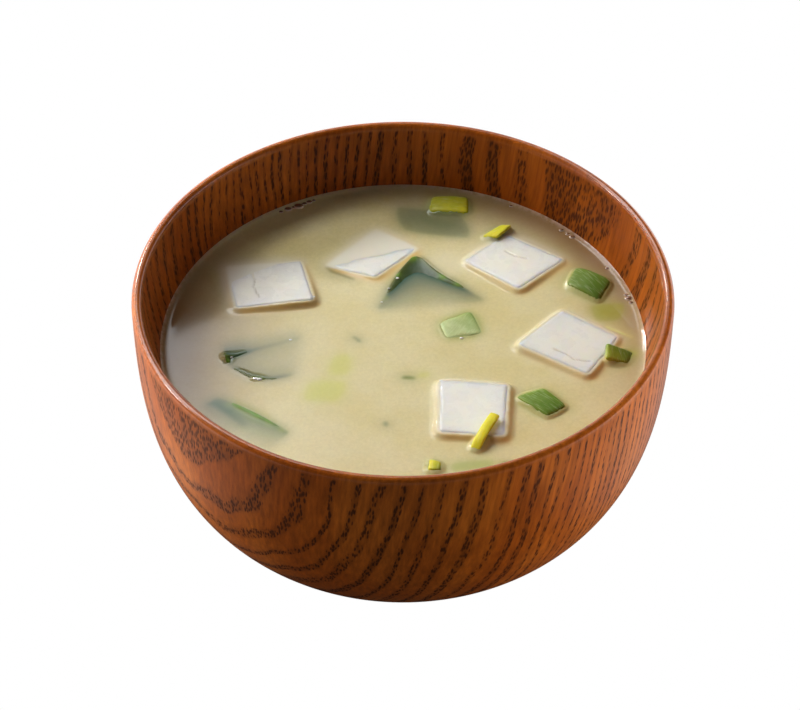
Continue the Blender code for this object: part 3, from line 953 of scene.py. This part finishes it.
# %% [markdown]
# ## What is sunk in the broth
#
# More of the same garnish hangs just under the surface, where the cloudy broth hides most of it and
# leaves a soft ghost. Each sunken piece is real: a thin sheet over four corners, arched a little and
# given a wall, or one more block of tofu.

# %% Sunken pieces
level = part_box("soup")[1].z - 0.5 * MM  # the solid climbs this far up the wall
SUNKEN_CUTS = 9
# For each: its finish, its four corners from the front in mm from the bowl's axis, how deep it
# lies, and its colour where it is onion.
SUNKEN_SHEETS = {
    "wakame_back": ("wakame", ((-0.6, 36.7), (16.4, 33.6), (14.2, 43.0), (-2.4, 46.4)), 0.70, LEAF),
    "wakame_sliver": ("wakame", ((-16.8, 22.6), (-10.4, 19.4), (-10.2, 20.6), (-18.0, 25.2)), 0.30, LEAF),
    "wakame_speck": ("wakame", ((-9.4, -1.1), (-8.4, -0.3), (-10.8, 2.2), (-11.6, 1.5)), 0.45, LEAF),
    "wakame_spot": ("wakame", ((-4.6, -26.8), (-2.9, -26.9), (-2.7, -24.9), (-4.5, -24.8)), 0.55, LEAF),
    "onion_crescent": ("onion", ((-0.9, -12.3), (3.2, -12.4), (2.8, -11.0), (-0.3, -10.8)), 0.18, LEAF),
    "onion_wisp": ("onion", ((2.8, -12.2), (6.2, -11.6), (6.0, -9.2), (3.2, -9.8)), 1.0, LIME),
    "onion_tip": ("onion", ((19.8, -38.6), (22.8, -37.0), (22.4, -36.2), (20.0, -37.2)), 0.25, DEEP),
    "onion_front_right": ("onion", ((9.6, -40.4), (19.6, -38.6), (19.0, -35.8), (9.4, -37.2)), 0.75, LEAF),
    "onion_haze": ("onion", ((42.2, 5.8), (48.4, 6.6), (49.6, 13.0), (40.6, 12.0)), 0.62, LIME),
    "onion_sliver": ("onion", ((43.6, 4.5), (50.6, 0.1), (51.0, 1.1), (44.0, 5.7)), 0.22, CREAM),
    "onion_tail": ("wakame", ((47.6, -6.6), (51.3, -4.6), (51.0, -2.4), (48.2, -2.6)), 0.90, LEAF),
    "onion_glow_front": (
        "onion", ((-22.0, -19.0), (-13.0, -19.4), (-11.4, -12.4), (-20.4, -12.0)), 0.95, LIME,
    ),
    "onion_glow_back": ("onion", ((-16.8, -11.6), (-11.0, -11.0), (-11.2, -3.6), (-15.4, -4.2)), 1.05, LIME),
}
SUNKEN_BLOCK = ((10.5, 20.2), (15.4, 24.6), (10.4, 31.0), (4.2, 26.6))
SUNKEN_BLOCK_DEPTHS = (1.15, 8.0)
SUNKEN_BLOCK_CUTS = 24


def sheet_shape(corners, depth, seed):
    """A thin arched sheet over four corners, with a wall."""
    bm = bmesh.new()
    bmesh.ops.create_grid(bm, x_segments=SUNKEN_CUTS, y_segments=SUNKEN_CUTS, size=1.0)
    front_left, front_right, back_right, back_left = (Vector(c) * MM for c in corners)
    for vert in bm.verts:
        right, back = (vert.co.x + 1.0) / 2.0, (vert.co.y + 1.0) / 2.0
        bulge = 1.0 - 0.5 * (vert.co.x**2 + vert.co.y**2)
        spot = front_left.lerp(front_right, right).lerp(back_left.lerp(back_right, right), back)
        middle = (front_left + front_right + back_right + back_left) / 4.0
        spot = middle + (spot - middle) * (1.0 - 0.16 * max(0.0, abs(vert.co.x * vert.co.y) - 0.3))
        lift = (-depth + 0.25 * bulge) * MM + 0.15 * MM * wave((*spot, 0.0), 3.0 * MM, seed)
        vert.co = (*spot, level + lift)
    bmesh.ops.recalc_face_normals(bm, faces=bm.faces[:])
    bmesh.ops.solidify(bm, geom=bm.faces[:], thickness=0.5 * MM)
    bmesh.ops.recalc_face_normals(bm, faces=bm.faces[:])
    return smoothed(bm, 1)


# %% Sink them
for seed, (name, (kind, corners, depth, tint)) in enumerate(SUNKEN_SHEETS.items()):
    bm = sheet_shape(corners, depth, seed + 40.0)
    edge = nearness(bm, 0.4 * MM)
    tints = corner_colours(bm, [tint] * 4)
    finish, slot = (wakame, "wakame") if kind == "wakame" else (onion, "onion_green")
    piece = finish_piece("sunken_" + name, bm, finish, slot)
    keep_values(piece, "edge", edge)
    if kind == "onion":
        keep_values(piece, "tint", tints)
        rib_map(piece, 30.0)
    floating[piece.name] = piece

corners = np.array(
    [(x * MM, y * MM, level - depth * MM) for depth in SUNKEN_BLOCK_DEPTHS for x, y in SUNKEN_BLOCK]
)
floating["sunken_tofu"] = tofu_block("sunken_tofu", corners, SUNKEN_BLOCK_CUTS, 60.0)

# %% [markdown]
# ## The broth
#
# Miso broth is dashi with fine soybean paste stirred in, so light goes only a millimetre or two into
# it. A true volume would be slow and could not be kept with the model. Instead the broth is one solid
# skin that knows what lies under each spot: a straight look down finds how deep the nearest piece
# is, and the broth takes on that piece's colour, fading and blurring with depth. The same map raises
# a small lip of broth round whatever stands proud, and shades the broth in front of each block.

# %% A map of what lies in the broth
MAP_STEP = 0.25 * MM
MAP_HALF = 54.0 * MM
MAP_COUNT = int(round(2 * MAP_HALF / MAP_STEP)) + 1
SEE_DEPTH = 1.15 * MM  # the depth at which about a third of a piece still shows
SEE_TOFU = 2.6 * MM  # and of tofu, which is brighter than the broth
FILM_BELOW = 0.13 * MM  # how far under a block's top the broth stops
# The colour that a piece lends to the broth over it.
SEEN = {
    "tofu": (0.94, 0.89, 0.75), "wakame": (0.040, 0.105, 0.072), "onion": (0.22, 0.34, 0.04),
    "sunken_tofu": (0.84, 0.79, 0.60), "sunken_wakame": (0.035, 0.10, 0.05),
    "sunken_onion": (0.58, 0.62, 0.03), "sunken_onion_sliver": (0.78, 0.68, 0.24),
    "sunken_onion_haze": (0.34, 0.34, 0.02),
    "sunken_onion_crescent": (0.14, 0.20, 0.02), "sunken_onion_tip": (0.06, 0.12, 0.02),
    "sunken_onion_front_right": (0.30, 0.42, 0.05), "wakame_front_left": (0.06, 0.14, 0.05),
}
GREEN = np.array((0.19, 0.27, 0.025))  # and over a leaf's green spots


def seen_colour(name):
    """The colour that a piece lends to the broth, from the longest name that fits it."""
    return np.array(SEEN[max((key for key in SEEN if name.startswith(key)), key=len)])


def blurred(field, radius):
    """A map softened by a bell curve of that radius."""
    reach = int(math.ceil(3.0 * radius / MAP_STEP))
    bell = np.exp(-0.5 * (np.arange(-reach, reach + 1) * MAP_STEP / radius) ** 2)
    bell /= bell.sum()
    for axis in (0, 1):
        field = sum(weight * np.roll(field, step - reach, axis) for step, weight in enumerate(bell))
    return field


def look_down():
    """For each spot of the map, the height of the topmost piece over the level, and its colour."""
    heights = np.full((MAP_COUNT, MAP_COUNT), -1.0)
    colours = np.zeros((MAP_COUNT, MAP_COUNT, 3))
    for name, piece in floating.items():
        seen = seen_colour(name)
        mesh = piece.data
        greens = mesh.attributes.get("green")
        points = [v.co for v in mesh.vertices]
        tree = BVHTree.FromPolygons(points, [p.vertices[:] for p in mesh.polygons])
        low = [int((min(p[a] for p in points) + MAP_HALF) / MAP_STEP) for a in (0, 1)]
        high = [int((max(p[a] for p in points) + MAP_HALF) / MAP_STEP) + 2 for a in (0, 1)]
        for row in range(low[1], high[1]):
            for column in range(low[0], high[0]):
                spot = (column * MAP_STEP - MAP_HALF, row * MAP_STEP - MAP_HALF, level + 8 * MM)
                hit, _, face, _ = tree.ray_cast(spot, (0.0, 0.0, -1.0))
                if hit and hit.z - level > heights[row, column]:
                    heights[row, column] = hit.z - level
                    share = greens.data[mesh.polygons[face].vertices[0]].value if greens else 0.0
                    colours[row, column] = seen * (1.0 - share) + GREEN * share
    return heights, colours


# %% Look down
heights, under = look_down()
depths = np.clip(-heights, 0.0, 6.0 * MM)
proud = (heights > 0.0).astype(float)
is_tofu = np.all(under == np.array(SEEN["tofu"]), axis=-1)
shows = np.exp(-depths / np.where(is_tofu, SEE_TOFU, SEE_DEPTH))
shows[depths > 5.0 * MM] = 0.0
softness = np.clip(blurred(np.where(heights > -0.9, depths, 2.0 * MM), 0.5 * MM) / (1.6 * MM), 0.0, 1.0)
veil, tint = np.zeros_like(shows), np.zeros_like(under)
for radius, share in ((0.3, 1.0 - softness), (1.4, softness)):
    soft = blurred(shows, radius * MM)
    veil += share * soft
    for channel in range(3):
        tint[..., channel] += share * blurred(shows * under[..., channel], radius * MM)
tint /= np.maximum(veil, 1e-4)[..., None]
# %% The lip of broth round what stands proud
nearby = np.maximum(blurred(proud, 0.3 * MM), 1e-3)
wetted = blurred(np.clip(heights, 0.0, 0.9 * MM) * proud, 0.3 * MM) / nearby
lip = wetted * np.clip(3.6 * blurred(proud, 0.5 * MM), 0.0, 1.0) ** 1.5
lip = np.where(proud > 0, np.clip(np.minimum(heights - 0.25 * MM, 0.8 * MM), 0.0, None), lip)
# Round a block the broth climbs to just under its top edge, over the rounding.
tofu_top = is_tofu * proud
inner_top = (blurred(tofu_top, 0.45 * MM) > 0.93) * tofu_top
top_height = blurred(np.clip(heights, 0.0, None) * inner_top, 0.8 * MM)
top_height /= np.maximum(blurred(inner_top, 0.8 * MM), 1e-3)
climb = np.clip(top_height - FILM_BELOW, 0.0, 1.0 * MM)
climb *= np.clip(3.0 * blurred(tofu_top, 0.75 * MM), 0.0, 1.0) ** 1.3
by_block = np.clip(blurred(tofu_top, 0.5 * MM) / np.maximum(blurred(proud, 0.5 * MM), 1e-3), 0.0, 1.0)
lip = by_block * climb + (1.0 - by_block) * lip
lip = np.where(inner_top > 0, np.minimum(lip, np.clip(heights - 0.14 * MM, 0.0, None)), lip)

# %% The shade in front of each block
SHADE_SHIFT = (-5, 3)  # in map steps: five to the front and three to the right
block_cover = (is_tofu * (heights > -0.6 * MM)).astype(float)
shade = blurred(np.roll(block_cover, SHADE_SHIFT, (0, 1)), 0.9 * MM)
shade *= 1.0 - blurred(block_cover, 0.2 * MM)
print("map of", MAP_COUNT, "by", MAP_COUNT, "spots;", int(proud.sum()), "of them proud of the broth")


def read_map(field, places):
    """The map's values at places, smoothly between its spots."""
    steps_in = (places[:, :2] + MAP_HALF) / MAP_STEP
    column, row = steps_in.astype(int).T
    right, up = (steps_in - steps_in.astype(int)).T
    if field.ndim == 3:
        right, up = right[:, None], up[:, None]
    below = field[row, column] * (1 - right) + field[row, column + 1] * right
    above = field[row + 1, column] * (1 - right) + field[row + 1, column + 1] * right
    return below * (1 - up) + above * up

# %% [markdown]
# ## The broth's body
#
# The broth fills the bowl, so its outside is the bowl's inside, pushed a little way into the wood so
# that no gap shows, and its top is a level disc in fine rings that the map can lift. It is spun in
# one go, as the bowl was, and the map's values are kept on its vertices for the finish to read.


# %% The broth's section
SOUP_AROUND = 560
SOUP_RINGS = 140
INTO_WALL = 0.35 * MM
WALL_LIP = 0.75 * MM
WALL_LIP_REACH = 0.42 * MM
# The broth's dark edge is widest at the right of the back and on the left: for each stretch, its
# direction in degrees, how fast it narrows to its sides, its width in mm and its strength.
WALL_SHADES = ((40.0, 1.5, 8.5, 1.0), (178.0, 4.0, 19.0, 0.95))


def soup_section():
    """Half of the broth's section: its level surface, then down just inside the wood of the wall."""
    radius, depth = RIM_RADIUS - RIM_THICKNESS + INTO_WALL, INNER_DEPTH + INTO_WALL
    contact = wall_angle((BOWL_HEIGHT - level - WALL_LIP) / depth, INNER_POWERS[0])
    wall = [wall_point(radius, depth, INNER_POWERS, a) for a in steps(contact, math.pi / 2, 16)]
    wall[-1] = (0.0, wall[-1][1])
    surface = [(out, level) for out in steps(0.0, wall[0][0], SOUP_RINGS)[:-1]]
    return surface + wall, wall[0][0]


# %% The broth's finish
def broth_finish():
    """Cloudy broth over what lies beneath, darker by the wall in painted shade, with a pale scum and a
    painted sheen on its lip.
    """
    material, tree, shader, place = new_material(
        "miso_broth", Roughness=0.05, IOR=1.35,
        Subsurface_Weight=0.4, Subsurface_Scale=2.5 * MM, Subsurface_Radius=(1.0, 0.8, 0.5),
    )
    plain, milky, amber = rgb(0.74, 0.64, 0.31), rgb(0.79, 0.71, 0.42), rgb(0.74, 0.46, 0.11)
    colour = use_group(tree, mottle, "Colour", Place=place, Colour=plain, Second=milky, Size=14.0, Amount=0.8)
    flecks = span(tree, noise(tree, place, 1.5, 4.0, 0.7), 0.35, 0.75, 0.94, 1.05, smooth=False)
    colour = dimmed(tree, colour, flecks)
    by_wall = calc(tree, "MULTIPLY", attribute(tree, "wall_shade"), 0.9)
    colour = mix(tree, by_wall, colour, rgb(0.24, 0.115, 0.045))
    colour = mix(tree, attribute(tree, "veil"), colour, attribute(tree, "beneath", 0))
    colour = mix(tree, calc(tree, "MULTIPLY", attribute(tree, "shade"), 0.85), colour, amber)
    # Pale scum and painted sheen: the lip by the wall is paler, partly as scum and partly standing in for the
    # highlight its meniscus catches.
    scum_and_sheen = span(tree, noise(tree, place, 0.9, 3.0, 0.6), 0.35, 0.6, 0.25, 1.0)
    scum_and_sheen = calc(tree, "MULTIPLY", attribute(tree, "wall_lip"), scum_and_sheen)
    colour = mix(tree, calc(tree, "MULTIPLY", scum_and_sheen, 0.8), colour, rgb(0.66, 0.44, 0.34))
    wire(tree, shader.inputs["Base Color"], colour)
    skin = {"Place": place, "Size": 11.0, "Relief": 0.007 * MM, "Gloss": 0.03}
    wire(tree, shader.inputs["Normal"], use_group(tree, wet, "Normal", **skin))
    return material


# %% Pour the broth
section, soup_radius = soup_section()
bm = spun(section, SOUP_AROUND)
places = vertex_places(bm)
from_wall = soup_radius - INTO_WALL - np.hypot(places[:, 0], places[:, 1])
near_wall = np.exp(-np.maximum(from_wall, 0.0) / WALL_LIP_REACH)
on_top = places[:, 2] > level - 0.01 * MM
flat_top = on_top & (places[:, 2] < level + 0.01 * MM)
rise = (WALL_LIP * near_wall + read_map(lip, places)) * flat_top
for vert, lift in zip(bm.verts, rise):
    vert.co.z += lift
broth = broth_finish()
soup = finish_piece("miso_broth", bm, broth, "broth", "soup")
keep_values(soup, "veil", read_map(veil, places) * on_top)
keep_values(soup, "shade", read_map(shade, places) * on_top)
keep_values(soup, "wall_lip", near_wall * on_top)

# %% The wall's shade on the broth
turn = np.arctan2(places[:, 1], places[:, 0])
shades = np.zeros(len(places))
for toward, sides, reach, most in WALL_SHADES:
    facing = np.clip(1.0 - sides * (1.0 - np.cos(turn - math.radians(toward))), 0.0, most)
    shades = np.maximum(shades, np.exp(-((np.maximum(from_wall, 0.0) / (reach * MM)) ** 2)) * facing)
keep_values(soup, "wall_shade", shades * on_top)
keep_values(soup, "beneath", np.hstack([read_map(tint, places), np.ones((len(places), 1))]))

# %% [markdown]
# ## Bubbles and glint beads
#
# A few bubbles cling to the wall where the broth was poured, and small beads of broth stand on the
# edges of the leaves and blocks. The beads are painted white all over, a painted glint in place of the
# light that a wet edge catches. The bubbles are painted dark in the middle and pale at the rim, a
# painted reflection of their film. Every one is a flattened ball, most of it under the surface. They
# are so small that a few dozen faces round each are enough.

# %% Bubbles and glint beads
# Each is x, y and radius in mm.
BUBBLES = (
    (-28.0, 43.7, 0.45), (-26.4, 44.6, 0.75), (-25.1, 45.3, 0.45), (-24.0, 45.6, 0.95), (-22.7, 46.6, 0.5),
    (-21.6, 47.2, 0.6), (-20.6, 47.8, 0.4), (36.2, 37.2, 0.5), (37.6, 35.8, 0.45), (38.6, 34.8, 0.6),
    (50.1, 13.8, 0.75), (50.6, 12.4, 0.5), (49.6, 15.0, 0.45), (25.0, 45.8, 0.4), (45.9, 24.0, 0.35),
)
# And for the beads, painted white as glints, how far the middle stands above the broth.
GLINT_BEADS = (
    (-38.3, -5.4, 0.55, 0.10), (-37.4, -5.3, 0.50, 0.08), (-31.6, -12.0, 0.55, 0.0),
    (-30.8, -12.2, 0.55, 0.0),
    (-24.5, 0.4, 0.35, -0.10), (-1.2, 20.4, 0.32, 0.25), (-3.1, 17.0, 0.25, 0.20), (-4.7, 12.7, 0.22, 0.0),
    (12.8, 0.9, 0.35, 0.0), (24.8, 18.2, 0.40, 0.50), (-19.9, 13.4, 0.45, 0.80), (25.7, -1.9, 0.50, 0.75),
    (27.4, 0.6, 0.35, 0.60), (29.2, 3.2, 0.35, 0.60), (8.2, -13.6, 0.50, 0.70),
)


def balls(spots):
    """One mesh of flattened balls, each from x, y, radius and the height of its middle, in mm."""
    bm = bmesh.new()
    for x, y, radius, height in spots:
        made = bmesh.ops.create_uvsphere(bm, u_segments=20, v_segments=12, radius=radius * MM)
        bmesh.ops.scale(bm, verts=made["verts"], vec=(1.25, 0.9, 0.6))
        bmesh.ops.translate(bm, verts=made["verts"], vec=(x * MM, y * MM, level + height * MM))
    return bm


def wet_finish(name, inner, outer):
    """A glassy skin whose colour runs from the top of each ball to its rim: on the bubbles a painted
    reflection, dark in the middle and pale at the rim, and on the beads a painted glint, white all over.
    """
    settings = {"Roughness": 0.08, "Coat_Weight": 1.0, "Coat_Roughness": 0.03}
    material, tree, shader, place = new_material(name, **settings)
    cloud = noise(tree, place, 1.2, 2.0)
    rim = calc(tree, "MULTIPLY", attribute(tree, "rim"), span(tree, cloud, 0.2, 0.5, 0.7, 1.0))
    wire(tree, shader.inputs["Base Color"], mix(tree, rim, inner, outer))
    return material


# The bubbles' dark middles and pale rims are a painted reflection, and the beads' white is a painted glint.
for name, spots, inner, outer in (
    (
        "bubbles", [(x, y, radius, 0.1 * radius) for x, y, radius in BUBBLES],
        rgb(0.22, 0.10, 0.05), rgb(0.95, 0.82, 0.70),
    ),
    ("beads", GLINT_BEADS, rgb(0.95, 0.95, 0.92), rgb(0.90, 0.88, 0.78)),
):
    bm = balls(spots)
    bm.normal_update()
    # Painted reflection: each ball turns to its rim colour where its face tilts away from upright.
    painted_rims = [min(max((0.86 - v.normal.z) / 0.25, 0.0), 1.0) for v in bm.verts]
    piece = finish_piece(name, bm, wet_finish(name, inner, outer), "broth")
    keep_values(piece, "rim", painted_rims)

# %% [markdown]
# ## Closing
#
# Every piece rides on the bowl's body, and the last cell prints how many pieces lie in the broth.

print("pieces in the broth:", len(floating))
